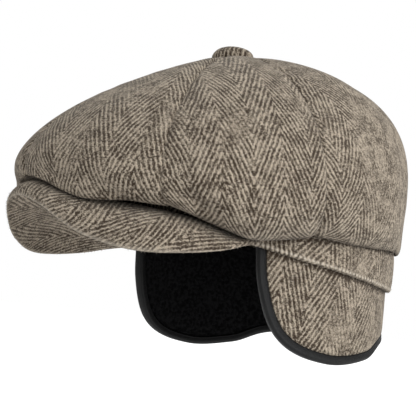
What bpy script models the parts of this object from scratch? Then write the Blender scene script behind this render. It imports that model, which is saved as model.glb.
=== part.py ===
"""A wool flat cap of the full, eight-panel kind, with a flap round the ears and neck.

The cap's frame: the rim of the head opening is near Z = 0, the front is -Y and the wearer's left
is +X. A turn is the way round the head in degrees, from 0 at the front, through 90 at the
wearer's left ear and 180 at the back, to 360 at the front again.
"""

import math
from collections import namedtuple

import bmesh
import bpy
import numpy as np

MM = 0.001

# The head opening, which is a slightly squared oval, and the band round it
HEAD_LENGTH = 198 * MM
HEAD_WIDTH = 176 * MM
HEAD_SQUARENESS = 2.08
BAND_HEIGHT = 30 * MM
BAND_WALL = 3 * MM
RIM_ARCH = 14 * MM

# The cloth's wall, and the gap that separate pieces keep
CLOTH_WALL = 1.6 * MM
CLEARANCE = 0.3 * MM

# The crown: its top above the rim, its standing out, and how far its middle and its button lie
# in front of the head's middle. The puff between two seams is full from PUFF_START to PUFF_FADE
# on the way down a panel, where 1 is its widest line, and gone at PUFF_END.
CROWN_HEIGHT = 135.8 * MM
CROWN_OVERHANG = 39.4 * MM
CROWN_FORWARD = 20.1 * MM
BUTTON_FORWARD = 24.2 * MM
TUCK_POWER = 1.25
SEAM_SWING = 7
PANEL_COUNT = 8
PANEL_PUFF = 2.2 * MM
PUFF_POWER = 0.8
PUFF_START = 0.5
PUFF_FADE = 2.0
PUFF_END = 2.6
SEAM_SINK = 0.6
PANEL_TIP = 4 * MM
DENT_DEPTH = 2.5 * MM

# The covered button
BUTTON_DIAMETER = 28 * MM
BUTTON_HEIGHT = 7.5 * MM
BUTTON_SQUARENESS = 2.5
BUTTON_RIM = 1.2 * MM

# The peak: how far it reaches in front of the band, its droop at the sides, its stiff wall and
# how much it swells between the band and its edge
PEAK_REACH = 60.2 * MM
PEAK_DROOP = 12.2 * MM
PEAK_WALL = 4 * MM
PEAK_SWELL = 11 * MM
PEAK_END_TURN = 64.7

# The flap, its lining and its binding
FLAP_DROP = 55 * MM
FLAP_START_TURN = 65.3
FLAP_TUCK = 27 * MM
LINING_WALL = 3.5 * MM
BINDING_WIDTH = 5 * MM
BINDING_PROUD = 0.5 * MM

# How finely each surface is divided
PANEL_COLUMNS = 8
DOME_ROWS = 9
FOLD_ROWS = 5
TUCK_ROWS = 4
BAND_COLUMNS = 72
BUTTON_COLUMNS = 20
BUTTON_ROWS = 4
PEAK_COLUMNS = 28
PEAK_ROWS = 8
FLAP_COLUMNS = 48
FLAP_ROWS = 7
BINDING_COLUMNS = 60
SLOPE_STEP = 0.01
SEAM_LOOK = 0.2
EDGE_STEP = 0.005
SHARP_ANGLE = math.radians(50)
MERGE_DISTANCE = 0.001 * MM

# The height of the band's lower edge at some turns, as a share of RIM_ARCH.
RimSection = namedtuple("RimSection", "turn height")
RIM_SECTIONS = (
    RimSection(turn=0, height=1.07),
    RimSection(turn=35, height=0.96),
    RimSection(turn=62, height=0.42),
    RimSection(turn=90, height=-0.16),
    RimSection(turn=125, height=-0.66),
    RimSection(turn=180, height=-0.60),
)

# The crown's dome at some turns. Overhang is how far its widest line stands out beyond the head's
# oval, as a share of CROWN_OVERHANG, and belly is that line's height as a share of CROWN_HEIGHT.
# Steepness and fullness are the powers of the dome's curve at its top and at its widest line: 2
# is an ellipse, less is straighter and more is squarer.
DomeSection = namedtuple("DomeSection", "turn overhang belly steepness fullness")
DOME_SECTIONS = (
    DomeSection(turn=0, overhang=1.08, belly=0.335, steepness=1.23, fullness=1.52),
    DomeSection(turn=20, overhang=0.93, belly=0.291, steepness=1.20, fullness=1.71),
    DomeSection(turn=40, overhang=0.80, belly=0.270, steepness=1.40, fullness=1.94),
    DomeSection(turn=60, overhang=0.72, belly=0.242, steepness=1.55, fullness=1.85),
    DomeSection(turn=90, overhang=0.64, belly=0.251, steepness=1.92, fullness=1.82),
    DomeSection(turn=135, overhang=0.62, belly=0.335, steepness=2.57, fullness=2.49),
    DomeSection(turn=180, overhang=0.76, belly=0.390, steepness=2.75, fullness=2.76),
)

# Where the crown's cloth hangs lowest at some turns. Out is how far this line stands out beyond
# the head's oval, as a share of CROWN_OVERHANG, and low is its height above the rim as a share of
# BAND_HEIGHT.
FoldSection = namedtuple("FoldSection", "turn out low")
FOLD_SECTIONS = (
    FoldSection(turn=0, out=1.48, low=0.56),
    FoldSection(turn=20, out=1.20, low=0.16),
    FoldSection(turn=40, out=0.76, low=0.18),
    FoldSection(turn=60, out=0.34, low=0.09),
    FoldSection(turn=90, out=0.17, low=0.52),
    FoldSection(turn=135, out=0.14, low=0.78),
    FoldSection(turn=180, out=0.14, low=0.86),
)

# Dents where the crown's cloth gathers and sinks, alike on both sides. Turn and down place the
# middle, wide is in degrees and tall in steps of down, lean is the degrees that it moves round for
# each step down, and depth is a share of DENT_DEPTH, less than 0 where the cloth stands up instead.
Dent = namedtuple("Dent", "turn down wide tall lean depth")
DENTS = (
    Dent(turn=13, down=1.50, wide=5, tall=0.45, lean=-8, depth=0.9),
    Dent(turn=29, down=1.55, wide=6, tall=0.50, lean=9, depth=1.0),
    Dent(turn=40, down=0.72, wide=9, tall=0.22, lean=-30, depth=0.8),
    Dent(turn=55, down=1.45, wide=5, tall=0.40, lean=12, depth=0.8),
    Dent(turn=72, down=1.60, wide=5, tall=0.35, lean=-6, depth=-0.6),
    Dent(turn=104, down=1.35, wide=7, tall=0.40, lean=8, depth=0.5),
    Dent(turn=142, down=1.30, wide=8, tall=0.45, lean=-8, depth=0.7),
    Dent(turn=165, down=1.35, wide=7, tall=0.45, lean=6, depth=0.6),
)

# The peak's free edge from its middle (along 0) to its left corner (along 1). Side is the way out
# from the middle as a share of the corner's, reach the way forward as a share of that from the
# corner to the tip, and height is measured from the rim at the corner, as a share of PEAK_DROOP.
# Swell is how far the peak's middle rises there above a straight line from the band to the edge,
# as a share of PEAK_SWELL.
PeakEdge = namedtuple("PeakEdge", "along side reach height swell")
PEAK_EDGE = (
    PeakEdge(along=0.00, side=0.000, reach=1.000, height=1.37, swell=0.94),
    PeakEdge(along=0.25, side=0.328, reach=0.966, height=0.90, swell=0.69),
    PeakEdge(along=0.50, side=0.685, reach=0.811, height=-0.47, swell=1.15),
    PeakEdge(along=0.75, side=1.020, reach=0.529, height=-0.93, swell=1.05),
    PeakEdge(along=0.90, side=1.127, reach=0.214, height=-0.43, swell=0.20),
    PeakEdge(along=1.00, side=1.040, reach=0.020, height=0.18, swell=0.00),
)

# The flap's free edge from the middle of the back (along 0) to its front end at the rim (along 1).
# Turn is counted in degrees from FLAP_START_TURN, and drop is a share of FLAP_DROP.
FlapEdge = namedtuple("FlapEdge", "along turn drop")
FLAP_EDGE = (
    FlapEdge(along=0.00, turn=114.7, drop=0.573),
    FlapEdge(along=0.20, turn=71.8, drop=0.625),
    FlapEdge(along=0.40, turn=51.4, drop=0.858),
    FlapEdge(along=0.55, turn=31.8, drop=1.000),
    FlapEdge(along=0.70, turn=13.6, drop=0.930),
    FlapEdge(along=0.82, turn=5.5, drop=0.683),
    FlapEdge(along=0.91, turn=1.4, drop=0.332),
    FlapEdge(along=1.00, turn=0.0, drop=0.000),
)

# The binding's section, from the flap's outer face round the free edge to its inner face. Inset
# is a share of BINDING_WIDTH from the edge, and depth a share of the binding's thickness.
BindingCorner = namedtuple("BindingCorner", "inset depth")
BINDING_SECTION = (
    BindingCorner(inset=1.0, depth=0.00),
    BindingCorner(inset=0.4, depth=0.00),
    BindingCorner(inset=0.1, depth=0.18),
    BindingCorner(inset=0.0, depth=0.50),
    BindingCorner(inset=0.1, depth=0.82),
    BindingCorner(inset=0.4, depth=1.00),
    BindingCorner(inset=1.0, depth=1.00),
)

# The finishes: colour, roughness
Finish = namedtuple("Finish", "name colour roughness")
WOOL = Finish("Herringbone wool", (0.22, 0.19, 0.155), 0.95)
FLEECE = Finish("Black fleece", (0.004, 0.004, 0.005), 1.0)
BINDING = Finish("Black binding", (0.008, 0.008, 0.009), 0.4)


def through(rows, column, at, level_start=False, level_end=False):
    """One column of a table, read at `at`, on a smooth curve through the rows.

    Between two rows the curve is a cubic whose slopes are those of the line through the rows
    beside each. A level end has no slope, so that it meets its mirror image smoothly.
    """
    knots = np.array([row[0] for row in rows], float)
    values = np.array([getattr(row, column) for row in rows], float)
    slopes = np.gradient(values, knots)
    slopes[0] *= not level_start
    slopes[-1] *= not level_end
    at = np.clip(np.asarray(at, float), knots[0], knots[-1])
    index = np.clip(np.searchsorted(knots, at, side="right") - 1, 0, len(knots) - 2)
    span = knots[index + 1] - knots[index]
    share = (at - knots[index]) / span
    rise = share * share * (3 - 2 * share)
    start_bend = span * slopes[index] * share * (1 - share) ** 2
    end_bend = span * slopes[index + 1] * share**2 * (share - 1)
    return values[index] * (1 - rise) + values[index + 1] * rise + start_bend + end_bend


def join(x, y, z):
    """Points from their three coordinates, whose shapes are made alike."""
    return np.stack(np.broadcast_arrays(x, y, z), axis=-1)


def unit(vectors):
    """The vectors, each with a length of one."""
    return vectors / np.linalg.norm(vectors, axis=-1, keepdims=True)


def side_of(turn):
    """The turn counted from the front on either side, from 0 to 180."""
    return np.abs((turn + 180) % 360 - 180)


def head_line(turn, out, height):
    """Points at a turn, `out` beyond the head's oval, at a height."""
    angle = np.radians(turn)
    power = 2 / HEAD_SQUARENESS
    across = np.sign(np.sin(angle)) * np.abs(np.sin(angle)) ** power
    forward = np.sign(np.cos(angle)) * np.abs(np.cos(angle)) ** power
    return join((HEAD_WIDTH / 2 + out) * across, -(HEAD_LENGTH / 2 + out) * forward, height)


def rim_height(turn):
    """The height of the band's lower edge, which arches up over the forehead."""
    return RIM_ARCH * through(RIM_SECTIONS, "height", side_of(turn), True, True)


def dome_section(turn, column):
    """One column of the dome's table at a turn on either side."""
    return through(DOME_SECTIONS, column, side_of(turn), True, True)


def fold_section(turn, column):
    """One column of the fold's table at a turn on either side."""
    return through(FOLD_SECTIONS, column, side_of(turn), True, True)


def widest_line(turn):
    """The crown's widest line, which lies forward of the head's oval."""
    height = CROWN_HEIGHT * dome_section(turn, "belly")
    line = head_line(turn, CROWN_OVERHANG * dome_section(turn, "overhang"), height)
    return line - join(0, CROWN_FORWARD, 0)


def lowest_line(turn):
    """The line where the crown's cloth hangs lowest before it turns in to the band."""
    height = rim_height(turn) + BAND_HEIGHT * fold_section(turn, "low")
    return head_line(turn, CROWN_OVERHANG * fold_section(turn, "out"), height)


def hem_line(turn):
    """The crown's hem, just outside the band's upper edge."""
    height = rim_height(turn) + BAND_HEIGHT - CLEARANCE
    return head_line(turn, BAND_WALL + CLEARANCE, height)


def smooth_crown(turn, down):
    """The crown's outer skin before its panels puff and its cloth dents.

    Down runs from 0 at the button to 1 at the widest line, to 2 at the lowest line and to 3 at
    the hem. Each of the three parts is a quarter of an ellipse, whose powers the dome varies and
    which is flattened in the tuck. The foot of each line down the crown swings forward a little.
    """
    top = join(0, -BUTTON_FORWARD, CROWN_HEIGHT)
    widest = widest_line(turn)
    foot = turn - SEAM_SWING * np.sin(np.radians(turn))
    lowest = lowest_line(foot)
    dome_angle = np.clip(down, 0, 1) * math.pi / 2
    fold_angle = np.clip(down - 1, 0, 1) * math.pi / 2
    tuck_angle = np.clip(down - 2, 0, 1) * math.pi / 2
    spread = np.sin(dome_angle) ** (2 / dome_section(turn, "steepness"))
    drop = 1 - np.cos(dome_angle).clip(0) ** (2 / dome_section(turn, "fullness"))
    fold_in = 1 - np.cos(fold_angle)
    tuck_in = np.sin(tuck_angle) ** (2 / TUCK_POWER)
    tuck_up = 1 - np.cos(tuck_angle).clip(0) ** (2 / TUCK_POWER)
    dome = top + (widest - top) * join(spread, spread, drop)
    fold = (lowest - widest) * join(fold_in, fold_in, np.sin(fold_angle))
    tuck = (hem_line(foot) - lowest) * join(tuck_in, tuck_in, tuck_up)
    return dome + fold + tuck


def slope(turn, down, turn_step, down_step):
    """The smooth crown's slope for a small step round it or down it."""
    ahead = smooth_crown(turn + turn_step, down + down_step)
    behind = smooth_crown(turn - turn_step, down - down_step)
    return (ahead - behind) / 2


def facing(turn, down):
    """Which way the crown's outer side faces.

    On the dome this is the cross product of the slopes down and round. From the widest line to
    the hem it turns evenly through half a circle: outward, then down, then in to the band.
    """
    dome_down = np.clip(down, 2 * SLOPE_STEP, 1 - SLOPE_STEP)
    round_slope = slope(turn, dome_down, SLOPE_STEP, 0)
    dome_way = unit(np.cross(slope(turn, dome_down, 0, SLOPE_STEP), round_slope))
    below_slope = slope(turn, np.maximum(down, 1), SLOPE_STEP, 0)
    outward = unit(join(below_slope[..., 1], -below_slope[..., 0], 0))
    roll = np.clip(down - 1, 0, 2) * math.pi / 2
    fold_way = outward * np.cos(roll)[..., None] - join(0, 0, np.sin(roll))
    return np.where((down > 1)[..., None], fold_way, dome_way)


def puff(turn, down):
    """How far the cloth swells between two seams, and sinks at the turns they lie on."""
    across = (turn * PANEL_COUNT / 360) % 1
    between_seams = np.sin(math.pi * across) ** PUFF_POWER - SEAM_SINK
    below_button = np.sin(np.clip(down / PUFF_START, 0, 1) * math.pi / 2)
    above_hem = np.clip((PUFF_END - down) / (PUFF_END - PUFF_FADE), 0, 1)
    return PANEL_PUFF * between_seams * below_button * above_hem


def dents(turn, down):
    """How far the cloth sinks: each dent is a bell across and along its leaning line."""
    depth = np.zeros(np.broadcast(turn, down).shape)
    for dent in DENTS:
        across = (side_of(turn) - dent.turn - dent.lean * (down - dent.down)) / dent.wide
        along = (down - dent.down) / dent.tall
        depth += dent.depth * np.exp(-(across**2) - along**2)
    return DENT_DEPTH * depth


def crown_skin(turn, down, depth=0):
    """The crown's outer skin, or the face `depth` inside it, with the panels' puff and dents."""
    rise = puff(turn, down) - dents(turn, down) - depth
    return smooth_crown(turn, down) + facing(turn, down) * rise[..., None]


def down_at(turn, radius):
    """How far down the dome lies at a distance from the button's middle in plan."""
    reach = widest_line(turn) - join(0, -BUTTON_FORWARD, 0)
    share = radius / np.hypot(reach[..., 0], reach[..., 1])
    return 2 / math.pi * np.arcsin(share ** (dome_section(turn, "steepness") / 2))


def half_seam(turn, down):
    """Half of the gap at a seam, in degrees of turn.

    The gap is measured square to the seam, whose way is taken here and a little up and down it.
    """
    round_slope = slope(turn, down, SLOPE_STEP, 0) / SLOPE_STEP
    spans = []
    for away in (-SEAM_LOOK, 0, SEAM_LOOK):
        beside = np.clip(down + away, SLOPE_STEP, 3 - SLOPE_STEP)
        seam_way = unit(slope(turn, beside, 0, SLOPE_STEP))
        spans.append(np.linalg.norm(np.cross(round_slope, seam_way), axis=-1))
    return CLEARANCE / 2 / np.minimum.reduce(spans)


def panel_grid(number):
    """One panel's turns and downs, as rows from the button and columns round to the next seam."""
    width = 360 / PANEL_COUNT
    across = np.linspace(0, 1, PANEL_COLUMNS + 1)[None, :]
    whole_turn = (number + across) * width
    tip = down_at(whole_turn, PANEL_TIP)
    dome = tip + (1 - tip) * np.linspace(0, 1, DOME_ROWS + 1)[:, None]
    fold = 1 + np.linspace(0, 1, FOLD_ROWS + 1)[1:, None] + 0 * across
    tuck = 2 + np.linspace(0, 1, TUCK_ROWS + 1)[1:, None] + 0 * across
    down = np.vstack([dome, fold, tuck])
    seam = half_seam(whole_turn, down)
    return number * width + seam + across * (width - 2 * seam), down


def halves(corners):
    """The two triangles of a quad, which its first and third corners divide."""
    first, second, third, fourth = corners
    return [[first, second, third], [first, third, fourth]]


def grid_triangles(rows, columns, wraps=False):
    """The triangles of a grid whose last column joins its first where it wraps."""
    index = np.arange(rows * columns).reshape(rows, columns)
    if wraps:
        index = np.hstack([index, index[:, :1]])
    corners = [index[:-1, :-1], index[1:, :-1], index[1:, 1:], index[:-1, 1:]]
    quads = np.stack(corners, axis=-1).reshape(-1, 4).tolist()
    return [triangle for quad in quads for triangle in halves(quad)]


def grid_border(rows, columns):
    """The points round a grid's border: down its first column, then round to its start."""
    index = np.arange(rows * columns).reshape(rows, columns)
    sides = [index[:-1, 0], index[-1, :-1], index[:0:-1, -1], index[0, :0:-1]]
    return np.concatenate(sides).tolist()


def mesh_from(name, points, faces):
    """A smooth mesh of an array of points."""
    mesh = bpy.data.meshes.new(name)
    mesh.from_pydata(points.reshape(-1, 3).tolist(), [], faces)
    mesh.shade_smooth()
    return mesh


def closed_mesh(name, points, faces):
    """A mesh whose doubled points are merged and whose faces all point out."""
    mesh = mesh_from(name, points, faces)
    shape = bmesh.new()
    shape.from_mesh(mesh)
    bmesh.ops.remove_doubles(shape, verts=shape.verts, dist=MERGE_DISTANCE)
    bmesh.ops.recalc_face_normals(shape, faces=shape.faces)
    shape.to_mesh(mesh)
    shape.free()
    mesh.set_sharp_from_angle(angle=SHARP_ANGLE)
    return mesh


def shell_mesh(name, outer, inner, wraps=False):
    """A closed mesh between two grids of points, divided alike and joined round their borders.

    Grids that wrap are turned shapes: their first rows are poles, so only the last rows join.
    """
    rows, columns = outer.shape[:2]
    count = rows * columns
    faces = grid_triangles(rows, columns, wraps)
    faces += [[corner + count for corner in reversed(triangle)] for triangle in faces]
    border = list(range(count - columns, count)) if wraps else grid_border(rows, columns)
    for start, end in zip(border, border[1:] + border[:1]):
        faces += halves([end, start, start + count, end + count])
    return closed_mesh(name, np.stack([outer, inner]), faces)


def tube_mesh(name, rings):
    """A closed mesh through rings of points, with a flat cap at each end."""
    rows, columns = rings.shape[:2]
    faces = grid_triangles(rows, columns, wraps=True)
    faces.append(list(range(columns)))
    faces.append(list(range((rows - 1) * columns, rows * columns)))
    return closed_mesh(name, rings, faces)


def material_of(finish):
    """A finish's material, made the first time that it is asked for."""
    material = bpy.data.materials.get(finish.name)
    if material is None:
        material = bpy.data.materials.new(finish.name)
        material.use_nodes = True
        shader = material.node_tree.nodes["Principled BSDF"]
        shader.inputs["Base Color"].default_value = (*finish.colour, 1)
        shader.inputs["Roughness"].default_value = finish.roughness
        shader.inputs["Metallic"].default_value = 0
    return material


def add_part(name, mesh, finish):
    """A named object for one piece."""
    part = bpy.data.objects.new(name, mesh)
    mesh.materials.append(material_of(finish))
    bpy.context.collection.objects.link(part)
    return part


def add_crown():
    """The eight panels, which a seam's gap keeps apart."""
    for number in range(PANEL_COUNT):
        name = f"crown_panel_{number + 1}"
        turn, down = panel_grid(number)
        outer = crown_skin(turn, down)
        inner = crown_skin(turn, down, CLOTH_WALL)
        add_part(name, shell_mesh(name, outer, inner), WOOL)


def add_button():
    """The covered button: a dome that sits on the crown, with its underside close to the cloth."""
    turn = np.linspace(0, 360, BUTTON_COLUMNS + 1)[None, :-1]
    angle = np.linspace(0, 1, BUTTON_ROWS + 1)[:, None] * math.pi / 2
    radius = BUTTON_DIAMETER / 2 * np.sin(angle) ** (2 / BUTTON_SQUARENESS)
    seat = crown_skin(turn, down_at(turn, radius))
    seat += join(0, 0, CLEARANCE)
    top = CROWN_HEIGHT + BUTTON_HEIGHT
    rim = seat[-1:, :, 2] + BUTTON_RIM
    share = np.cos(angle).clip(0) ** (2 / BUTTON_SQUARENESS)
    dome = join(seat[..., 0], seat[..., 1], rim + (top - rim) * share)
    add_part("button", shell_mesh("button", dome, seat, wraps=True), WOOL)


def add_band():
    """The band: a ring between the rim and the crown's hem."""
    turn = np.linspace(0, 360, BAND_COLUMNS + 1)[None, :-1]
    rise = np.array([[BAND_HEIGHT], [0]])
    points = head_line(turn, BAND_WALL, rim_height(turn) + rise)
    mesh = mesh_from("band", points, grid_triangles(*points.shape[:2], wraps=True))
    solidify = add_part("band", mesh, WOOL).modifiers.new("Wall", "SOLIDIFY")
    solidify.thickness = BAND_WALL
    solidify.offset = -1


def peak_edge(along):
    """The peak's free edge, from its right corner at -1 to its left one at 1."""
    share = np.abs(along)
    corner = head_line(PEAK_END_TURN, BAND_WALL + CLEARANCE, rim_height(PEAK_END_TURN))
    tip = -(HEAD_LENGTH / 2 + BAND_WALL + PEAK_REACH)
    side = corner[0] * np.sign(along) * through(PEAK_EDGE, "side", share)
    forward = corner[1] + (tip - corner[1]) * through(PEAK_EDGE, "reach", share, True)
    height = corner[2] + PEAK_DROOP * through(PEAK_EDGE, "height", share, True)
    return join(side, forward, height)


def peak_middle(along, share):
    """The middle of the peak's wall, from the band at share 0 to the free edge at 1.

    It is a straight line between the two, raised by a curve that is highest at two thirds.
    """
    turn = along * PEAK_END_TURN
    inner = head_line(turn, BAND_WALL + CLEARANCE, rim_height(turn) + PEAK_WALL / 2)
    highest = 2 / 3 * math.sqrt(1 / 3)
    swell = PEAK_SWELL * through(PEAK_EDGE, "swell", np.abs(along), True)
    rise = swell * share * np.sqrt(1 - share) / highest
    return inner + (peak_edge(along) - inner) * share[..., None] + join(0, 0, rise)


def add_peak():
    """The stiff peak, which thins to a level face against the band."""
    along = np.linspace(-1, 1, PEAK_COLUMNS + 1)[None, :]
    share = np.linspace(0, 1, PEAK_ROWS + 1)[:, None]
    middle = peak_middle(along, share)
    down, across = np.gradient(middle, axis=(0, 1))
    upright = 1 - share[..., None]
    facing_up = unit(unit(np.cross(down, across)) * (1 - upright) + join(0, 0, 1) * upright)
    half = facing_up * PEAK_WALL / 2
    add_part("peak", shell_mesh("peak", middle + half, middle - half), WOOL)


def flap_edge(along, inset):
    """The turn and height of the flap's free edge, moved in by `inset` across the cloth.

    Along runs from 1 at the left front end, through 0 at the back, to -1 at the right one.
    """
    radius = (HEAD_LENGTH + HEAD_WIDTH) / 4

    def place(at):
        share = np.abs(at)
        turn = FLAP_START_TURN + through(FLAP_EDGE, "turn", share)
        turn = np.where(at < 0, 360 - turn, turn)
        drop = FLAP_DROP * through(FLAP_EDGE, "drop", share, True)
        return np.stack([np.radians(turn) * radius, rim_height(turn) - drop], axis=-1)

    ahead = place(np.clip(along - EDGE_STEP, -1, 1))
    behind = place(np.clip(along + EDGE_STEP, -1, 1))
    way = unit(ahead - behind)
    moved = place(along) + np.stack([-way[..., 1], way[..., 0]], axis=-1) * inset
    return np.degrees(moved[..., 0] / radius), moved[..., 1]


def flap_points(out):
    """A grid over the flap inside its binding, `out` beyond the head's oval."""
    along = np.linspace(1, -1, FLAP_COLUMNS + 1)[None, :]
    share = np.linspace(0, 1, FLAP_ROWS + 1)[:, None]
    edge_turn, edge_height = flap_edge(along, BINDING_WIDTH + CLEARANCE)
    top_turn = edge_turn[:, :1] + (edge_turn[:, -1:] - edge_turn[:, :1]) * (1 - along) / 2
    top_height = rim_height(top_turn) + FLAP_TUCK
    turn = top_turn + (edge_turn - top_turn) * share
    height = top_height + (edge_height - top_height) * share
    return head_line(turn, out, height)


def add_flap_layer(name, out, wall, finish):
    """One layer of the flap, whose outer face is `out` beyond the head's oval."""
    add_part(name, shell_mesh(name, flap_points(out), flap_points(out - wall)), finish)


def add_flap():
    """The wool flap, which hangs from inside the band, and the fleece behind it."""
    wool_out = -CLEARANCE - BINDING_PROUD
    lining_out = wool_out - CLOTH_WALL - CLEARANCE
    add_flap_layer("ear_flap", wool_out, CLOTH_WALL, WOOL)
    add_flap_layer("flap_lining", lining_out, LINING_WALL, FLEECE)


def add_binding():
    """The binding: its section carried along the flap's free edge, from rim to rim."""
    thickness = CLOTH_WALL + CLEARANCE + LINING_WALL + 2 * BINDING_PROUD
    along = np.linspace(1, -1, BINDING_COLUMNS + 1)
    rings = []
    for corner in BINDING_SECTION:
        turn, height = flap_edge(along, BINDING_WIDTH * corner.inset)
        turn = np.concatenate([turn[:1], turn, turn[-1:]])
        ends = [height[0] + FLAP_TUCK, height[-1] + FLAP_TUCK]
        height = np.concatenate([ends[:1], height, ends[1:]])
        rings.append(head_line(turn, -CLEARANCE - thickness * corner.depth, height))
    add_part("flap_binding", tube_mesh("flap_binding", np.stack(rings, axis=1)), BINDING)


def clear_scene():
    """Removes whatever the scene holds."""
    for leftover in list(bpy.data.objects):
        bpy.data.objects.remove(leftover)


def main():
    """Builds the cap."""
    clear_scene()
    add_crown()
    add_button()
    add_band()
    add_peak()
    add_flap()
    add_binding()


if __name__ == "__main__":
    main()
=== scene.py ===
# %% [markdown]
# # A wool cap with ear flaps
#
# The real thing is a full cap of herringbone wool. Eight gores meet under a covered button, a
# stiff peak stands out in front, a band goes round the head, and a fleece-lined flap with a bound
# edge hangs from inside the band.
#
# The packed model is the fixed frame: plain solids in metres, which the pieces here are dressed
# over. They could be subdivided and sculpted, but cloth is easier to control as a formula of two
# parameters. One goes round the head and the other down or across the cloth.

# %% Load the packed frame
import math

import bpy
import numpy as np
from mathutils import Matrix, Vector


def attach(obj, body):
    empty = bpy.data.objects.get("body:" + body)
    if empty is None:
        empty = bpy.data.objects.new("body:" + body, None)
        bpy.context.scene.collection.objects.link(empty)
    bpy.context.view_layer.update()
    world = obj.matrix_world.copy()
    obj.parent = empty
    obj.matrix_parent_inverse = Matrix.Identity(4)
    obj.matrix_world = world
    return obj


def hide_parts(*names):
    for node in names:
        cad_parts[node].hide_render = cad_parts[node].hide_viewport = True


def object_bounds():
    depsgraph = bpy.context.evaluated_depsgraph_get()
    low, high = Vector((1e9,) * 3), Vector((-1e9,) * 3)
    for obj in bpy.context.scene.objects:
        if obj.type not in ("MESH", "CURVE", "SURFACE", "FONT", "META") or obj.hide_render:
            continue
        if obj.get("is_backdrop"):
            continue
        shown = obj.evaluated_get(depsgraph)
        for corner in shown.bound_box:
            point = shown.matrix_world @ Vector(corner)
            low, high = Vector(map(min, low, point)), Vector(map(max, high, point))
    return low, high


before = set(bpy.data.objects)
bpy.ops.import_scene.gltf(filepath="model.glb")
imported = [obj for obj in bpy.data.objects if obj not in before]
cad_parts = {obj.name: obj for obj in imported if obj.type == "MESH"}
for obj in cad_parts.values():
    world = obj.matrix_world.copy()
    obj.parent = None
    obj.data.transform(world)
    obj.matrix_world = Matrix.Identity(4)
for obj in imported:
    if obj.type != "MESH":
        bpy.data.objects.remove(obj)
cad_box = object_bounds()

MM = 0.001
print("nodes:", ", ".join(sorted(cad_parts)))

# %% [markdown]
# ## The camera
#
# The camera stands in front and to the wearer's left, a little below the cap, so that the peak's
# far underside and the far flap's lining are in view. A Track To constraint could aim it, but it
# is also panned, tilted and rolled a little, so its directions are worked out as vectors.

# %% Place the camera
PICTURE_WIDTH = 416
FOCAL_PIXELS = 945.1
SENSOR_WIDTH = 36
AZIMUTH = math.radians(57.43)
ELEVATION = math.radians(-6.88)
PAN = math.radians(2.43)
TILT = math.radians(-0.45)
ROLL = math.radians(-5.51)
CAMERA_DISTANCE = 641.2 * MM
LOOK_AT = Vector((0, 0, 40 * MM))


def add_object(name, data):
    """A new object in the scene."""
    added = bpy.data.objects.new(name, data)
    bpy.context.scene.collection.objects.link(added)
    return added


def camera_matrix():
    """The camera's place and its axes: right is X, up is Y and backwards is Z."""
    level = math.cos(ELEVATION)
    way = Vector((math.sin(AZIMUTH) * level, -math.cos(AZIMUTH) * level, math.sin(ELEVATION)))
    right = (-way).cross(Vector((0, 0, 1))).normalized()
    axes = {"forward": -way, "right": right, "up": right.cross(-way)}
    for name, angle in (("up", PAN), ("right", TILT), ("forward", ROLL)):
        turn = Matrix.Rotation(angle, 3, axes[name])
        axes = {axis: turn @ vector for axis, vector in axes.items()}
    matrix = Matrix((axes["right"], axes["up"], -axes["forward"])).transposed().to_4x4()
    matrix.translation = LOOK_AT + way * CAMERA_DISTANCE
    return matrix


camera_data = bpy.data.cameras.new("camera")
camera_data.sensor_width = SENSOR_WIDTH
camera_data.lens = FOCAL_PIXELS / PICTURE_WIDTH * SENSOR_WIDTH
camera = add_object("camera", camera_data)
camera.matrix_world = camera_matrix()
bpy.context.scene.camera = camera
print("lens in mm:", round(camera_data.lens, 1))

# %% [markdown]
# ## A short way to write nodes
#
# Every finish is a tree of nodes. It could be drawn by hand in Blender, but a script can build the
# same tree, and this class keeps each node to about one line.

# %% Nodes


class Nodes:
    """Adds and links the nodes of one material or of the world."""

    def __init__(self, owner):
        owner.use_nodes = True
        self.owner = owner
        self.tree = owner.node_tree
        self.shader = self.tree.nodes.get("Principled BSDF") or self.tree.nodes["Background"]

    def put(self, node, inputs):
        """Puts numbers or other nodes' outputs into the inputs of a node, by name or place."""
        for name, value in inputs.items():
            if isinstance(value, bpy.types.NodeSocket):
                self.tree.links.new(value, node.inputs[name])
            else:
                node.inputs[name].default_value = value

    def add(self, kind, inputs=None, **settings):
        """A new node with its settings and its inputs."""
        node = self.tree.nodes.new("ShaderNode" + kind)
        for name, value in settings.items():
            setattr(node, name, value)
        self.put(node, inputs or {})
        return node

    def math(self, operation, *values):
        """One sum of numbers."""
        return self.add("Math", dict(enumerate(values)), operation=operation).outputs[0]

    def noise(self, spots, detail, vector, stretch=(1, 1, 1)):
        """Smooth noise about 0 with about `spots` spots to a unit, squeezed by `stretch`."""
        mapping = self.add("Mapping", {"Vector": vector, "Scale": stretch})
        inputs = {"Vector": mapping.outputs[0], "Scale": spots, "Detail": detail}
        return self.math("SUBTRACT", self.add("TexNoise", inputs).outputs["Fac"], 0.5)

    def between(self, value, low, high, to_low=0.0, to_high=1.0):
        """A value's smooth way from low to high, as a number from to_low to to_high."""
        inputs = dict(enumerate((value, low, high, to_low, to_high)))
        return self.add("MapRange", inputs, interpolation_type="SMOOTHSTEP").outputs["Result"]

    def mix(self, share, first, second):
        """A mix of two colours."""
        return self.add("Mix", {0: share, 6: first, 7: second}, data_type="RGBA").outputs[2]

    def bump(self, height, distance, strength):
        """Small relief for the shader's normal."""
        bump = self.add("Bump", {"Distance": distance, "Strength": strength, "Height": height})
        self.put(self.shader, {"Normal": bump.outputs[0]})

    def place(self):
        """The place in the piece's own space, in metres."""
        return self.add("TexCoord").outputs["Object"]

    def painted(self, name):
        """A number painted on the piece's points, which is 0 on a piece without it."""
        return self.add("Attribute", attribute_name=name).outputs["Fac"]

    def brightness(self, seen, light):
        """A strength that is `seen` for what the camera sees and `light` for all other rays."""
        ray = self.add("LightPath").outputs["Is Camera Ray"]
        node = self.add("MapRange", {"Value": ray, "To Min": light, "To Max": seen})
        return node.outputs["Result"]


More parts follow.
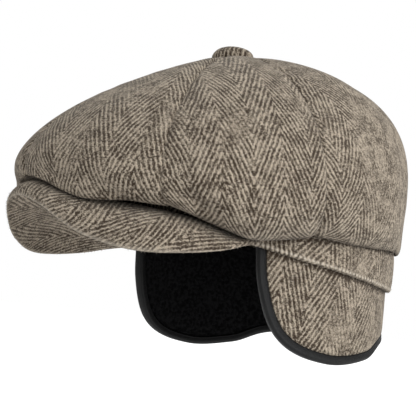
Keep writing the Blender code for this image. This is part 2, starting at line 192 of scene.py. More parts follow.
print("ways to add nodes:", ", ".join(name for name in vars(Nodes) if name[0] != "_"))

# %% [markdown]
# ## The studio
#
# The cap hangs free over a plain pale floor, as on a mount, in soft white light. A studio like
# this could be an image of a room, but a bright even world and two large softboxes give the same
# calm shading with nothing to load. The brighter softbox stands on the wearer's left and behind.
# The Standard view shows white as white.

# %% Floor, world and softboxes
FLOOR_HEIGHT = -300 * MM
FLOOR_REACH = 30
FLOOR_GREY = (0.5, 0.5, 0.5, 1)
WHITE = (1, 1, 1, 1)
SEEN = 1.0
SKY_LIGHT = 0.56
FLOOR_LIGHT = 0.45
SOFTBOX_WIDTH = 0.9
SOFTBOXES = {"key_softbox": ((1.2, 0.35, 0.50), 17), "front_softbox": ((0.2, -1.2, 0.9), 5)}


def add_floor():
    """The pale floor: one large square, bright enough to meet the sky without a line."""
    mesh = bpy.data.meshes.new("floor")
    corners = [(-1, -1), (1, -1), (1, 1), (-1, 1)]
    points = [(x * FLOOR_REACH, y * FLOOR_REACH, FLOOR_HEIGHT) for x, y in corners]
    mesh.from_pydata(points, [], [(0, 1, 2, 3)])
    nodes = Nodes(bpy.data.materials.new("pale floor"))
    glow = nodes.brightness(SEEN, FLOOR_LIGHT)
    nodes.put(nodes.shader, {"Base Color": FLOOR_GREY, "Roughness": 1})
    nodes.put(nodes.shader, {"Emission Color": WHITE, "Emission Strength": glow})
    mesh.materials.append(nodes.owner)
    floor = add_object("floor", mesh)
    floor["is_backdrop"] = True


def add_world():
    """A white sky, which the camera sees brighter than it lights the cap."""
    nodes = Nodes(bpy.data.worlds.new("white studio"))
    nodes.put(nodes.shader, {"Color": WHITE, "Strength": nodes.brightness(SEEN, SKY_LIGHT)})
    bpy.context.scene.world = nodes.owner


def add_softbox(name, place, power):
    """A square area light that faces the cap."""
    light = bpy.data.lights.new(name, "AREA")
    light.size = SOFTBOX_WIDTH
    light.energy = power
    box = add_object(name, light)
    box.location = place
    box.rotation_mode = "QUATERNION"
    box.rotation_quaternion = (LOOK_AT - Vector(place)).to_track_quat("-Z", "Y")


bpy.context.scene.view_settings.view_transform = "Standard"
add_floor()
add_world()
for name, (place, power) in SOFTBOXES.items():
    add_softbox(name, place, power)

# %% [markdown]
# ## Curves through short tables
#
# A sewn cap has few straight lines. Its long edges are smooth curves through short tables, as a
# pattern cutter draws them with a curved ruler. Bezier curve objects could do the same, but a
# function of whole arrays gives thousands of points at once.

# %% Curves and vectors


def curve(table, column, at, level_start=True, level_end=True):
    """A smooth curve through one column of a table, read at `at`.

    With s the share of the way from one row to the next, the value is a mix by s s (3 - 2 s) of
    the two rows' values, plus slope terms s (1 - s)^2 and s^2 (s - 1). A level end has no slope.
    """
    knots = np.array(next(iter(table.values())), float)
    values = np.array(table[column], float)
    slopes = np.gradient(values, knots)
    slopes[0] *= not level_start
    slopes[-1] *= not level_end
    at = np.clip(np.asarray(at, float), knots[0], knots[-1])
    index = np.clip(np.searchsorted(knots, at, side="right") - 1, 0, len(knots) - 2)
    span = knots[index + 1] - knots[index]
    share = (at - knots[index]) / span
    rise = share * share * (3 - 2 * share)
    start_bend = span * slopes[index] * share * (1 - share) ** 2
    end_bend = span * slopes[index + 1] * share**2 * (share - 1)
    return values[index] * (1 - rise) + values[index + 1] * rise + start_bend + end_bend


def join(*coordinates):
    """Arrays of coordinates, made alike in shape, as one array of points."""
    return np.stack(np.broadcast_arrays(*coordinates), axis=-1)


def unit(vectors):
    """The vectors, each divided by its own length."""
    return vectors / np.linalg.norm(vectors, axis=-1, keepdims=True)


def bell(distance, width):
    """A smooth bump of height 1 round distance 0: e to the power of -(distance / width)^2."""
    return np.exp(-((distance / width) ** 2))


def squared(wave, power):
    """A sine or cosine whose size is raised to a power, with its sign kept."""
    return np.sign(wave) * np.abs(wave) ** power


print("a curve's middle:", float(curve({"turn": (0, 90), "height": (0, 1)}, "height", 45)))

# %% [markdown]
# ## From numbers to cloth
#
# Each piece is a grid of points whose neighbours are joined by quads. It also gets a UV map named
# cloth, which says in metres where each point lay on the flat cloth before it was cut. The
# herringbone is drawn on that map, so it turns with the cloth's grain and never stretches much.

# %% Grids, pieces and cloth maps


def grid_quads(rows, columns, wraps=False, closed=False):
    """A grid's quads. Its last column joins its first if it wraps, and its last row its first if
    it is closed."""
    index = np.arange(rows * columns).reshape(rows, columns)
    if wraps:
        index = np.hstack([index, index[:, :1]])
    if closed:
        index = np.vstack([index, index[:1]])
    corners = [index[:-1, :-1], index[1:, :-1], index[1:, 1:], index[:-1, 1:]]
    return np.stack(corners, axis=-1).reshape(-1, 4)


def grid_facing(points):
    """The way a grid faces at each point: the cross product of its two slopes."""
    return unit(np.cross(*np.gradient(points, axis=(0, 1))))


def close_poles(points, quads):
    """A grid that wraps, closed by one point in place of its first row and one of its last."""
    columns = points.shape[1]
    kept = points.reshape(-1, 3)[columns - 1 : 1 - columns]
    index = np.clip(quads - (columns - 1), 0, len(kept) - 1)
    first, last = index[:columns, :3], index[-columns:, [0, 1, 3]]
    return kept, first.tolist() + index[columns:-columns].tolist() + last.tolist()


def add_piece(name, points, faces, material, nodes, cloth=None, wall=0):
    """A smooth piece in place of its CAD nodes, with a wall inside its points if one is given.

    The cloth map holds one place for each point, or one for each corner of each face.
    """
    mesh = bpy.data.meshes.new(name)
    mesh.from_pydata(points.reshape(-1, 3), [], faces)
    if cloth is not None:
        corners = np.zeros(len(mesh.loops), np.int32)
        mesh.loops.foreach_get("vertex_index", corners)
        places = cloth.reshape(-1, 2)
        places = places[corners] if len(places) == len(mesh.vertices) else places
        layer = mesh.uv_layers.new(name="cloth")
        layer.data.foreach_set("uv", places.astype(np.float32).ravel())
    mesh.shade_smooth()
    mesh.materials.append(material)
    piece = add_object(name, mesh)
    if wall:
        solidify = piece.modifiers.new("wall", "SOLIDIFY")
        solidify.thickness = wall
        solidify.offset = -1
    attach(piece, "root")
    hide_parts(*nodes)
    print(name, len(faces), "faces")
    return piece


# %% [markdown]
# ## Loose hairs and painted light
#
# Wool sheds short hairs, which stand out from an edge and catch the light. Blender's hair curves
# would make them, but the exported part is a mesh, so each hair is a thin closed spike with its
# foot sunk in the cloth. Their places and ways are random, from a fixed seed.
#
# A number is also painted on each point of a piece, and the materials read it. Below 0 it is
# painted shade that darkens a crease; above 0 it is a painted highlight on an edge, or lighter
# hairs and spots, all without a second material.

# %% Loose hairs and painted light
HAIR_LENGTH = 1.5 * MM
HAIR_SHORTEST = 0.3
HAIR_RADIUS = 0.11 * MM
HAIR_LEAN = 0.6
HAIR_LIGHT = 0.4


def with_hairs(points, faces, painted_light_and_flecks, count, rows, seed):
    """A piece's points, faces and painted numbers, with loose hairs on some rows of its grid and
    the hairs painted lighter. The last array says which point of the grid each point belongs to.

    A hair is a spike with a closed foot of three corners. It points the way the cloth faces plus
    a random lean of about the same size.
    """
    chance = np.random.default_rng(seed)
    columns = points.shape[1]
    outward = grid_facing(points).reshape(-1, 3)
    home = chance.integers(*rows, count) * columns + chance.integers(0, columns, count)
    grid = points.reshape(-1, 3)
    foot = grid[home] - outward[home] * HAIR_RADIUS
    way = unit(outward[home] + chance.normal(0, HAIR_LEAN, (count, 3)))
    side = unit(np.cross(way, chance.normal(0, 1, (count, 3))))
    corner = np.radians([0, 120, 240])[None, :, None]
    ring = side[:, None] * np.cos(corner) + np.cross(way, side)[:, None] * np.sin(corner)
    tip = foot + way * HAIR_LENGTH * chance.uniform(HAIR_SHORTEST, 1, (count, 1))
    spikes = np.concatenate([foot[:, None] + HAIR_RADIUS * ring, tip[:, None]], axis=1)
    sides = np.array([(0, 1, 3), (1, 2, 3), (2, 0, 3), (0, 2, 1)])
    spike_faces = len(grid) + 4 * np.arange(count)[:, None, None] + sides
    return (
        np.concatenate([grid, spikes.reshape(-1, 3)]),
        faces + spike_faces.reshape(-1, 3).tolist(),
        np.concatenate([painted_light_and_flecks.ravel(), np.full(4 * count, HAIR_LIGHT)]),
        np.concatenate([np.arange(len(grid)), np.repeat(home, 4)]),
    )


def paint_light_and_flecks(piece, painted_light_and_flecks):
    """The number painted on each point of a piece. Wool shows it above 0 lighter, as a painted
    highlight or lighter hairs and spots, and below 0, the depth of a crease, darker, as painted
    shade."""
    layer = piece.data.attributes.new("painted_light_and_flecks", "FLOAT", "POINT")
    layer.data.foreach_set("value", painted_light_and_flecks.astype(np.float32))
    print(piece.name, "wear from", round(float(painted_light_and_flecks.min()), 2), "to", round(float(painted_light_and_flecks.max()), 2))


# %% [markdown]
# ## Laying a piece on the cloth
#
# A cutter lays each flat pattern piece on the cloth at some turn and place. Blender could unwrap
# the pieces, but it knows no grain, so these functions measure them flat and lay them on it.

# %% Lay a piece on the cloth
BOW_MIDDLE = 150 * MM
SPARE_COLUMNS = 20


def laid(flat, shift, lean, bow=0):
    """Places on the uncut cloth for places on a flat pattern piece.

    The piece is turned by `lean` degrees and moved `shift` mm and SPARE_COLUMNS across. Its grain
    bows by `bow` times the square of the metres from BOW_MIDDLE.
    """
    angle = math.radians(lean)
    across = flat[..., 0] * math.cos(angle) + flat[..., 1] * math.sin(angle)
    along = flat[..., 1] * math.cos(angle) - flat[..., 0] * math.sin(angle)
    across = across + bow * (along - BOW_MIDDLE) ** 2
    return join(across + shift * MM + SPARE_COLUMNS * COLUMN_WIDTH, along)


def summed(steps, axis):
    """The sum of the steps so far, from 0."""
    start = np.zeros_like(np.take(steps, [0], axis=axis))
    return np.concatenate([start, np.cumsum(steps, axis=axis)], axis=axis)


def run(points, axis):
    """How far each point is from the first along rows or columns: the sum of the distances."""
    return summed(np.linalg.norm(np.diff(points, axis=axis), axis=-1), axis)


# %% [markdown]
# ## Herringbone wool
#
# Herringbone is a twill whose slant turns back at the end of each column. The columns here are
# 18 mm wide, and the brown and beige stripes repeat every 2.65 mm and lean 22.5 degrees. A nap
# blurs them, most at the back and where a hand takes hold in front, and least low down, where the
# cloth is drawn tight.
#
# An image of the cloth would be easy, but it would show one piece only. Nodes draw it at any
# size: a ping-pong of the distance across makes the zigzag, a sine makes the stripes, and noise
# of several sizes makes the yarns uneven, the nap patchy and the loose hairs light.

# %% The wool
COLUMN_WIDTH = 18 * MM
STRIPE_PERIOD = 2.65 * MM
STRIPE_LEAN = math.radians(22.5)
WANDER = (1.3 * MM, 1.0 * MM)
DASH_LENGTH = 2.6 * MM
TWIST_LENGTH = 0.8 * MM
YARN_MIX = {"dash": 2.8, "twist": 2.4, "grain": 2.6}
LIGHT_YARN = (-0.86, 1.64)
MEAN_LIGHT = 0.47
SPOTS = {"nap": 38, "cloud": 130, "wander": 170, "mottle": 560, "grain": 850, "hair": 900}
SPECK_DEPTH = {"mottle": 0.22, "twist": 0.22, "cloud": 0.17}
SPECK_EDGE = 0.12
NAP_TO_CLEAR = (0.0, 0.30, 0.92, 0.21)
BRUSHED = 0.34
BRUSHED_FROM_TO = (-8 * MM, 30 * MM)
RUBBED = 0.30
RUBBED_PLACE = (30 * MM, -112 * MM, 88 * MM)
RUBBED_REACH = 42 * MM
DRAWN_TIGHT = 0.15
TIGHT_FROM_TO = (20 * MM, 60 * MM)
HAIR_SQUEEZE = (1.0, 0.35, 2.2)
HAIR_SHOWS = (0.10, 0.24, 0.0, 0.45)
WOOL_RELIEF = {"grain": 0.8, "hair": 0.5, "distance": 0.5 * MM, "strength": 0.7}
WOOL_DARK = (0.035, 0.024, 0.016, 1)
WOOL_LIGHT = (0.366, 0.311, 0.242, 1)
# The colour of pale loose hairs, which the painted highlights use too.
WOOL_HAIR_AND_HIGHLIGHT = (0.560, 0.500, 0.415, 1)
WOOL_SHEEN = (0.9, 0.85, 0.76, 1)


def cloth_lines(nodes):
    """The herringbone's two directions on the cloth map, in metres.

    With t going forth and back across each column and v along it, the way across the stripes is
    t cos lean - v sin lean and the way along them is t sin lean + v cos lean.
    """
    cloth = nodes.add("UVMap", uv_map="cloth").outputs[0]
    parts = nodes.add("SeparateXYZ", {0: cloth})
    wander = nodes.noise(SPOTS["wander"], 2, nodes.place())
    across = nodes.math("MULTIPLY_ADD", wander, WANDER[0], parts.outputs[0])
    along = nodes.math("MULTIPLY_ADD", wander, WANDER[1], parts.outputs[1])
    fold = nodes.math("PINGPONG", across, COLUMN_WIDTH)
    slant = nodes.math("MULTIPLY", along, -math.sin(STRIPE_LEAN))
    rise = nodes.math("MULTIPLY", along, math.cos(STRIPE_LEAN))
    over = nodes.math("MULTIPLY_ADD", fold, math.cos(STRIPE_LEAN), slant)
    down = nodes.math("MULTIPLY_ADD", fold, math.sin(STRIPE_LEAN), rise)
    return over, down


def yarn_noise(nodes, over, down, width, length, detail):
    """Noise about 0 whose spots are `width` across the stripes and `length` along them."""
    across, along = nodes.math("DIVIDE", over, width), nodes.math("DIVIDE", down, length)
    return nodes.noise(1, detail, nodes.add("CombineXYZ", {0: across, 1: along}).outputs[0])


def nap(nodes):
    """How much the nap hides the yarns: up to BRUSHED at the back, RUBBED more where a hand takes
    hold in front, and DRAWN_TIGHT less low down."""
    parts = nodes.add("SeparateXYZ", {0: nodes.place()})
    back = nodes.between(parts.outputs[1], *BRUSHED_FROM_TO, 0.0, BRUSHED)
    low = nodes.between(parts.outputs[2], *TIGHT_FROM_TO, -DRAWN_TIGHT, 0.0)
    away = nodes.add("VectorMath", {0: nodes.place(), 1: RUBBED_PLACE}, operation="DISTANCE")
    hand = nodes.between(away.outputs["Value"], 0.0, RUBBED_REACH, RUBBED, 0.0)
    return nodes.math("ADD", nodes.math("ADD", back, low), hand)


def wool_material():
    """Stripes are a sine across the herringbone's lines. Long spots of noise make the yarns
    uneven, short ones their twist, and noise in space makes the nap and the loose hairs."""
    nodes = Nodes(bpy.data.materials.new("herringbone wool"))
    space, painted_light_and_flecks = nodes.place(), nodes.painted("painted_light_and_flecks")
    over, down = cloth_lines(nodes)
    noises = {
        "dash": yarn_noise(nodes, over, down, STRIPE_PERIOD / 2, DASH_LENGTH, 1),
        "twist": yarn_noise(nodes, over, down, STRIPE_PERIOD / 4, TWIST_LENGTH, 2),
        "grain": nodes.noise(SPOTS["grain"], 3, space),
        "mottle": nodes.noise(SPOTS["mottle"], 5, space),
        "cloud": nodes.noise(SPOTS["cloud"], 5, space),
    }
    yarn = nodes.math("SINE", nodes.math("MULTIPLY", over, 2 * math.pi / STRIPE_PERIOD))
    for name, strength in YARN_MIX.items():
        yarn = nodes.math("MULTIPLY_ADD", noises[name], strength, yarn)
    light = nodes.between(yarn, *LIGHT_YARN)
    brushed = nodes.math("ADD", nodes.noise(SPOTS["nap"], 3, space), nap(nodes))
    centred = nodes.math("SUBTRACT", light, MEAN_LIGHT)
    clear = nodes.between(brushed, *NAP_TO_CLEAR)
    shade = nodes.math("MULTIPLY_ADD", centred, clear, MEAN_LIGHT)
    for name, depth in SPECK_DEPTH.items():
        speck = nodes.between(noises[name], -SPECK_EDGE, SPECK_EDGE, -depth, depth)
        shade = nodes.math("ADD", shade, speck)
    # Painted shade: a painted number below 0 darkens the wool in a crease.
    shade = nodes.math("ADD", shade, nodes.math("MINIMUM", painted_light_and_flecks, 0.0))
    hair = nodes.between(nodes.noise(SPOTS["hair"], 2, space, HAIR_SQUEEZE), *HAIR_SHOWS)
    # Painted highlight: a painted number above 0 lightens the wool towards the hairs' colour, as
    # on hairs and spots.
    hair = nodes.math("MAXIMUM", hair, painted_light_and_flecks)
    relief = nodes.math("MULTIPLY_ADD", noises["grain"], WOOL_RELIEF["grain"], light)
    relief = nodes.math("MULTIPLY_ADD", hair, WOOL_RELIEF["hair"], relief)
    nodes.bump(relief, WOOL_RELIEF["distance"], WOOL_RELIEF["strength"])
    nodes.put(nodes.shader, {
        "Base Color": nodes.mix(hair, nodes.mix(shade, WOOL_DARK, WOOL_LIGHT), WOOL_HAIR_AND_HIGHLIGHT),
        "Roughness": 0.95,
        "Specular IOR Level": 0.1,
        "Sheen Weight": 0.16,
        "Sheen Roughness": 0.5,
        "Sheen Tint": WOOL_SHEEN,
    })
    return nodes.owner


WOOL = wool_material()
print("made", WOOL.name)

# %% [markdown]
# ## The head's oval and the band's lower edge
#
# Everything is measured from the head opening. A circle would be simpler, but a head is longer
# than it is wide, so this is a slightly squared oval. A turn is the way round it in degrees: 0 is
# the front, 90 the wearer's left ear and 180 the back. The band's lower edge arches up over the
# forehead and hangs a little at the back.

# %% The oval and the rim
HEAD_LENGTH = 198 * MM
HEAD_WIDTH = 176 * MM
HEAD_SQUARENESS = 2.08
BAND_HEIGHT = 30 * MM
BAND_WALL = 3 * MM
RIM_ARCH = 14 * MM
GAP = 0.3 * MM
MEAN_RADIUS = (HEAD_LENGTH + HEAD_WIDTH) / 4
RIM = {
    "turn": (0, 35, 62, 90, 125, 180),
    "height": (1.07, 0.96, 0.42, -0.16, -0.66, -0.60),
}


def side_of(turn):
    """The turn counted from the front on either side, from 0 to 180."""
    return np.abs((turn + 180) % 360 - 180)


def head_line(turn, out, height):
    """Points of the squared oval: each coordinate is the half axis, plus `out`, times the sine
    or cosine raised to the power 2 / squareness."""
    across = squared(np.sin(np.radians(turn)), 2 / HEAD_SQUARENESS)
    forward = squared(np.cos(np.radians(turn)), 2 / HEAD_SQUARENESS)
    return join((HEAD_WIDTH / 2 + out) * across, -(HEAD_LENGTH / 2 + out) * forward, height)


def rim_height(turn):
    """The height of the band's lower edge at a turn."""
    return RIM_ARCH * curve(RIM, "height", side_of(turn))


print("rim in mm, front and back:", (rim_height(np.array([0, 180])) / MM).round(1))

# %% [markdown]
# ## The crown
#
# The crown is eight gores sewn edge to edge. Each puffs up between its seams, spreads beyond the
# head, and rolls under to the band. In front it spills over the peak and sinks into creases. A
# cloth simulation could inflate it, but the folds would land anywhere, so its skin is a formula:
# a quarter ellipse down the dome, another round the fold, and a last one under it.

# %% The crown's tables
CROWN_HEIGHT = 135.8 * MM
CROWN_OVERHANG = 39.4 * MM
CROWN_FORWARD = 20.1 * MM
BUTTON_FORWARD = 24.2 * MM
TUCK_POWER = 1.25
SEAM_SWING = 7
PANEL_COUNT = 8
CROWN = {
    "turn": (0, 20, 40, 60, 90, 135, 180),
    "overhang": (1.08, 0.93, 0.80, 0.72, 0.64, 0.62, 0.76),
    "belly": (0.335, 0.291, 0.270, 0.242, 0.251, 0.335, 0.390),
    "steepness": (1.23, 1.20, 1.40, 1.55, 1.92, 2.57, 2.75),
    "fullness": (1.52, 1.71, 1.94, 1.85, 1.82, 2.49, 2.76),
    "fold_out": (1.48, 1.20, 0.76, 0.34, 0.17, 0.12, 0.12),
    "fold_low": (0.60, 0.21, 0.225, 0.125, 0.52, 0.82, 0.89),
    "fold_fullness": (2.0, 2.0, 2.0, 2.0, 2.0, 2.3, 2.3),
}
DENTS = {
    "turn": (13, 29, 40, 55, 72, 104, 142, 165),
    "down": (1.50, 1.55, 0.72, 1.45, 1.60, 1.35, 1.30, 1.35),
    "wide": (5, 6, 9, 5, 5, 7, 8, 7),
    "tall": (0.45, 0.50, 0.22, 0.40, 0.35, 0.40, 0.45, 0.45),
    "lean": (-8, 9, -30, 12, -6, 8, -8, 6),
    "depth": (0.9, 1.0, 0.8, 0.8, -0.6, 0.5, 0.7, 0.6),
}
DENT_DEPTH = 2.5 * MM
STEP = 0.01

# %% The crown's skin


def crown_at(turn, column):
    """One column of the crown's table."""
    return curve(CROWN, column, side_of(turn))


def widest_line(turn):
    """The crown's widest line, moved forward of the head's oval."""
    out = CROWN_OVERHANG * crown_at(turn, "overhang")
    line = head_line(turn, out, CROWN_HEIGHT * crown_at(turn, "belly"))
    return line - np.array([0, CROWN_FORWARD, 0])


def quarter(share, sine_power, cosine_power):
    """The two ways along a quarter of a squared ellipse: the sine of the angle and 1 - its
    cosine, each with its own power 2 / squareness."""
    angle = np.clip(share, 0, 1) * math.pi / 2
    return np.sin(angle) ** (2 / sine_power), 1 - np.cos(angle).clip(0) ** (2 / cosine_power)


def smooth_crown(turn, down):
    """The skin with no puff or dents. Down is 0 at the button, 1 at the widest line, 2 where the
    cloth hangs lowest and 3 at the hem, and each part is a quarter of an ellipse."""
    top = np.array([0, -BUTTON_FORWARD, CROWN_HEIGHT])
    widest = widest_line(turn)
    foot = turn - SEAM_SWING * np.sin(np.radians(turn))
    low = rim_height(foot) + BAND_HEIGHT * crown_at(foot, "fold_low")
    lowest = head_line(foot, CROWN_OVERHANG * crown_at(foot, "fold_out"), low)
    hem = head_line(foot, BAND_WALL + GAP, rim_height(foot) + BAND_HEIGHT - GAP)
    fullness = crown_at(turn, "fold_fullness")
    spread, drop = quarter(down, crown_at(turn, "steepness"), crown_at(turn, "fullness"))
    fold_drop, fold_in = quarter(down - 1, fullness, fullness)
    tuck_in, tuck_up = quarter(down - 2, TUCK_POWER, TUCK_POWER)
    dome = top + (widest - top) * join(spread, spread, drop)
    fold = (lowest - widest) * join(fold_in, fold_in, fold_drop)
    return dome + fold + (hem - lowest) * join(tuck_in, tuck_in, tuck_up)


def slope(turn, down, turn_step, down_step):
    """Half the difference between the points a small step ahead and behind."""
    ahead = smooth_crown(turn + turn_step, down + down_step)
    return (ahead - smooth_crown(turn - turn_step, down - down_step)) / 2


def facing(turn, down):
    """Which way the cloth faces: the cross product of its slopes on the dome, and from the widest
    line on an even half turn, from outward through down to inward."""
    dome_down = np.clip(down, 2 * STEP, 1 - STEP)
    dome_way = np.cross(slope(turn, dome_down, 0, STEP), slope(turn, dome_down, STEP, 0))
    below = slope(turn, np.maximum(down, 1), STEP, 0)
    outward = unit(join(below[..., 1], -below[..., 0], 0))
    roll = np.clip(down - 1, 0, 2) * math.pi / 2
    fold_way = outward * np.cos(roll)[..., None] - join(0, 0, np.sin(roll))
    return np.where((down > 1)[..., None], fold_way, unit(dome_way))


print("crown's top:", smooth_crown(np.array([0.0]), np.array([0.0])).round(3))

# %% [markdown]
# ## Puff, seams, dents and waves
#
# Between its seams the wool stands up a little. At a seam both gores turn in and make a narrow
# groove, and the stitches draw up small puckers beside it. Larger dents come from a short table,
# and soft waves keep the rest from looking moulded. All of it could be sculpted, but each of these
# is a sum of waves or bells that one number changes.

# %% What lies on the skin
PANEL_PUFF = 2.2 * MM
PUFF_POWER = 0.8
PUFF_START = 0.5
PUFF_FADE = 2.0
PUFF_END = 2.6
SEAM_SINK = 0.6
SEAM_DEPTH = 0.8 * MM
SEAM_HALF_WIDTH = 1.3 * MM
PUCKER = 0.5 * MM
PUCKER_REACH = 6 * MM
PUCKER_COUNT = 62
PUCKER_DRIFT = 2.5
PUCKER_DRIFTS = 9
PUCKERS_END = (0.8, 1.2)
WAVES = {
    "round": (3, 5, 8, 11, 17, 23),
    "down": (2.1, -3.2, 4.4, -2.6, 3.5, -5.0),
    "phase": (0.4, 1.9, 3.1, 5.2, 0.9, 2.2),
    "height": (0.50, 0.45, 0.35, 0.30, 0.16, 0.12),
}


def fading(down, start=PUFF_FADE, end=PUFF_END):
    """1 down to the start and 0 from the end on, with a straight fall between."""
    return np.clip((end - down) / (end - start), 0, 1)


def puff(turn, down):
    """PANEL_PUFF times sin(pi a)^PUFF_POWER - SEAM_SINK, where a is the share of the way across
    a gore. It fades out under the button and in the last of the tuck."""
    across = (turn * PANEL_COUNT / 360) % 1
    between_seams = np.abs(np.sin(math.pi * across)) ** PUFF_POWER - SEAM_SINK
    below_button = np.sin(np.clip(down / PUFF_START, 0, 1) * math.pi / 2)
    return PANEL_PUFF * between_seams * below_button * fading(down)


def from_seam(turn, down):
    """Metres to the nearest seam along the cloth."""
    width = 360 / PANEL_COUNT
    degrees = np.abs((turn + width / 2) % width - width / 2)
    return np.linalg.norm(slope(turn, down, STEP, 0), axis=-1) / STEP * degrees


def gathers(turn, down):
    """The uneven ripple, from -1 to 1, that the stitches of a seam draw up beside it. It fades
    out in the fold, where the cloth is pulled smooth."""
    seam = np.round(turn * PANEL_COUNT / 360)
    drift = PUCKER_DRIFT * np.sin(down * PUCKER_DRIFTS + seam)
    ripple = np.sin(down * PUCKER_COUNT + drift)
    return ripple * bell(from_seam(turn, down), PUCKER_REACH) * fading(down, *PUCKERS_END)


def seam_groove(turn, down):
    """A groove at each seam, SEAM_DEPTH times a bell of the distance to it, less the puckers
    beside it, which the groove itself pulls flat."""
    groove = bell(from_seam(turn, down), SEAM_HALF_WIDTH)
    depth = SEAM_DEPTH * groove + PUCKER * gathers(turn, down) * (1 - groove)
    return depth * fading(down)


def dents(turn, down):
    """The sum of bells across and along each dent's leaning line, the same on both sides."""
    depth = 0
    for place, middle, wide, tall, lean, deep in zip(*DENTS.values()):
        across = (side_of(turn) - place - lean * (down - middle)) / wide
        depth += deep * np.exp(-(across**2) - ((down - middle) / tall) ** 2)
    return DENT_DEPTH * depth


def waves(turn, down):
    """A sum of sines of the turn and the way down, zero at the button and the hem."""
    rise = 0
    for round_count, down_count, phase, height in zip(*WAVES.values()):
        rise += height * np.sin(np.radians(turn) * round_count + down * down_count + phase)
    return MM * rise * np.sin(np.clip(down / PUFF_END, 0, 1) * math.pi)


def crown_skin(turn, down):
    """The crown's finished outer skin."""
    rise = puff(turn, down) + waves(turn, down) - dents(turn, down) - seam_groove(turn, down)
    return smooth_crown(turn, down) + facing(turn, down) * rise[..., None]


# %% [markdown]
# ## Cutting and sewing the gores
#
# Each gore is its own piece, with its own grain. Its columns of herringbone run parallel to its
# middle and are cut off by its seams, so the pattern breaks at every seam. One mesh for the whole
# crown would be simpler, but it couldn't break there. The grid is finer beside the seams, where
# the cloth turns in, and painted shade darkens the wool deep in the crease at the band.

# %% Eight gores
PANEL_TIP = 4 * MM
GORE_COLUMNS = 72
SEAM_CROWDING = 8.5
DOME_ROWS = 58
FOLD_ROWS = 34
TUCK_ROWS = 16
GORE_WALL = 1.4 * MM
GATHERED = 0.9 * MM
CREASE_SHADE = 0.6
CREASE_DOWN = (1.84, 2.0)
CREASE_TURN = (40, 65)
CREASE_OVER_PEAK = 0.3
GORES = {
    "shift": (13, 28, 22.7, 12, 22, 14, 12, 21),
    "lean": (-4, -5, 0, 3, -4, 2, 5, -3),
    "bow": (2, 1, 0, 0.5, 0, 0, 0.5, 0),
}


def down_at(turn, radius):
    """How far down the dome lies at a distance from the button's middle in plan."""
    reach = widest_line(turn) - np.array([0, -BUTTON_FORWARD, 0])
    share = radius / np.hypot(reach[..., 0], reach[..., 1])
    return 2 / math.pi * np.arcsin(share ** (crown_at(turn, "steepness") / 2))


def gore_grid(number):
    """A gore's turns and downs. With s even steps, the way across is
    s - sin(2 pi s) / SEAM_CROWDING, whose steps are smaller at the seams."""
    step = np.linspace(0, 1, GORE_COLUMNS + 1)[None, :]
    across = step - np.sin(2 * math.pi * step) / SEAM_CROWDING
    turn = (number + across) * 360 / PANEL_COUNT
    tip = down_at(turn, PANEL_TIP)
    dome = tip + (1 - tip) * np.linspace(0, 1, DOME_ROWS + 1)[:, None]
    fold = 1 + np.linspace(0, 1, FOLD_ROWS + 1)[1:, None] + 0 * turn
    tuck = 2 + np.linspace(0, 1, TUCK_ROWS + 1)[1:, None] + 0 * turn
    down = np.vstack([dome, fold, tuck])
    return turn + 0 * down, down


def gore_pattern(points):
    """Where the gore's points lay on its flat pattern piece.

    A row of the gore is an arc there. Its bend b is the growth of the gore's width for each metre
    down, divided by the width. A point at the run r from the middle then lies sin(b r) / b across
    and (1 - cos(b r)) / b above the place of its row in the middle.
    """
    middle = GORE_COLUMNS // 2
    away = run(points, 1)
    width = away[:, -1:]
    away = away - away[:, middle : middle + 1]
    along = run(points, 0)[:, middle : middle + 1]
    bend = np.gradient(width[:, 0], along[:, 0])[:, None] / width
    across = away * np.sinc(bend * away / math.pi)
    lift = bend * away**2 / 2 * np.sinc(bend * away / 2 / math.pi) ** 2
    return join(across, along - lift)


for number, grain in enumerate(zip(*GORES.values())):
    turn, down = gore_grid(number)
    points = crown_skin(turn, down)
    cloth = laid(gore_pattern(points) + join(0, GATHERED * gathers(turn, down)), *grain)
    faces = grid_quads(*points.shape[:2]).tolist()
    gore = add_piece(f"crown_gore_{number + 1}", points, faces, WOOL,
                     [f"crown_panel_{number + 1}"], cloth, GORE_WALL)
    # Painted shade deep in the crease where the fold meets the band, weaker over the peak.
    deep = np.interp(down, CREASE_DOWN, (0, 1))
    deep = deep * np.interp(side_of(turn), CREASE_TURN, (CREASE_OVER_PEAK, 1))
    paint_light_and_flecks(gore, -CREASE_SHADE * deep.ravel())

# %% [markdown]
# ## The covered button
#
# A button is a shell with a round of cloth drawn over it and gathered beneath. It could be a
# flattened sphere, but its edge is fuller, so it is turned from a profile: a low dome, a full edge
# and a short way under to the crown. The gathers are a small wave that grows towards the rim.

# %% Button
BUTTON_DIAMETER = 28 * MM
BUTTON_HEIGHT = 7.5 * MM
BUTTON_SQUARENESS = 2.5
BUTTON_RIM = 1.2 * MM
BUTTON_COLUMNS = 96
BUTTON_ROWS = 40
BUTTON_GATHERS = 16
GATHER_DEPTH = 0.012
GATHER_POWER = 12
BUTTON_TIP = 0.004
BUTTON_SINK = 0.2 * MM
BUTTON_TUCK = (0.0, 0.08, 0.3, 1.0)
BUTTON_GRAIN = (-12, 12)


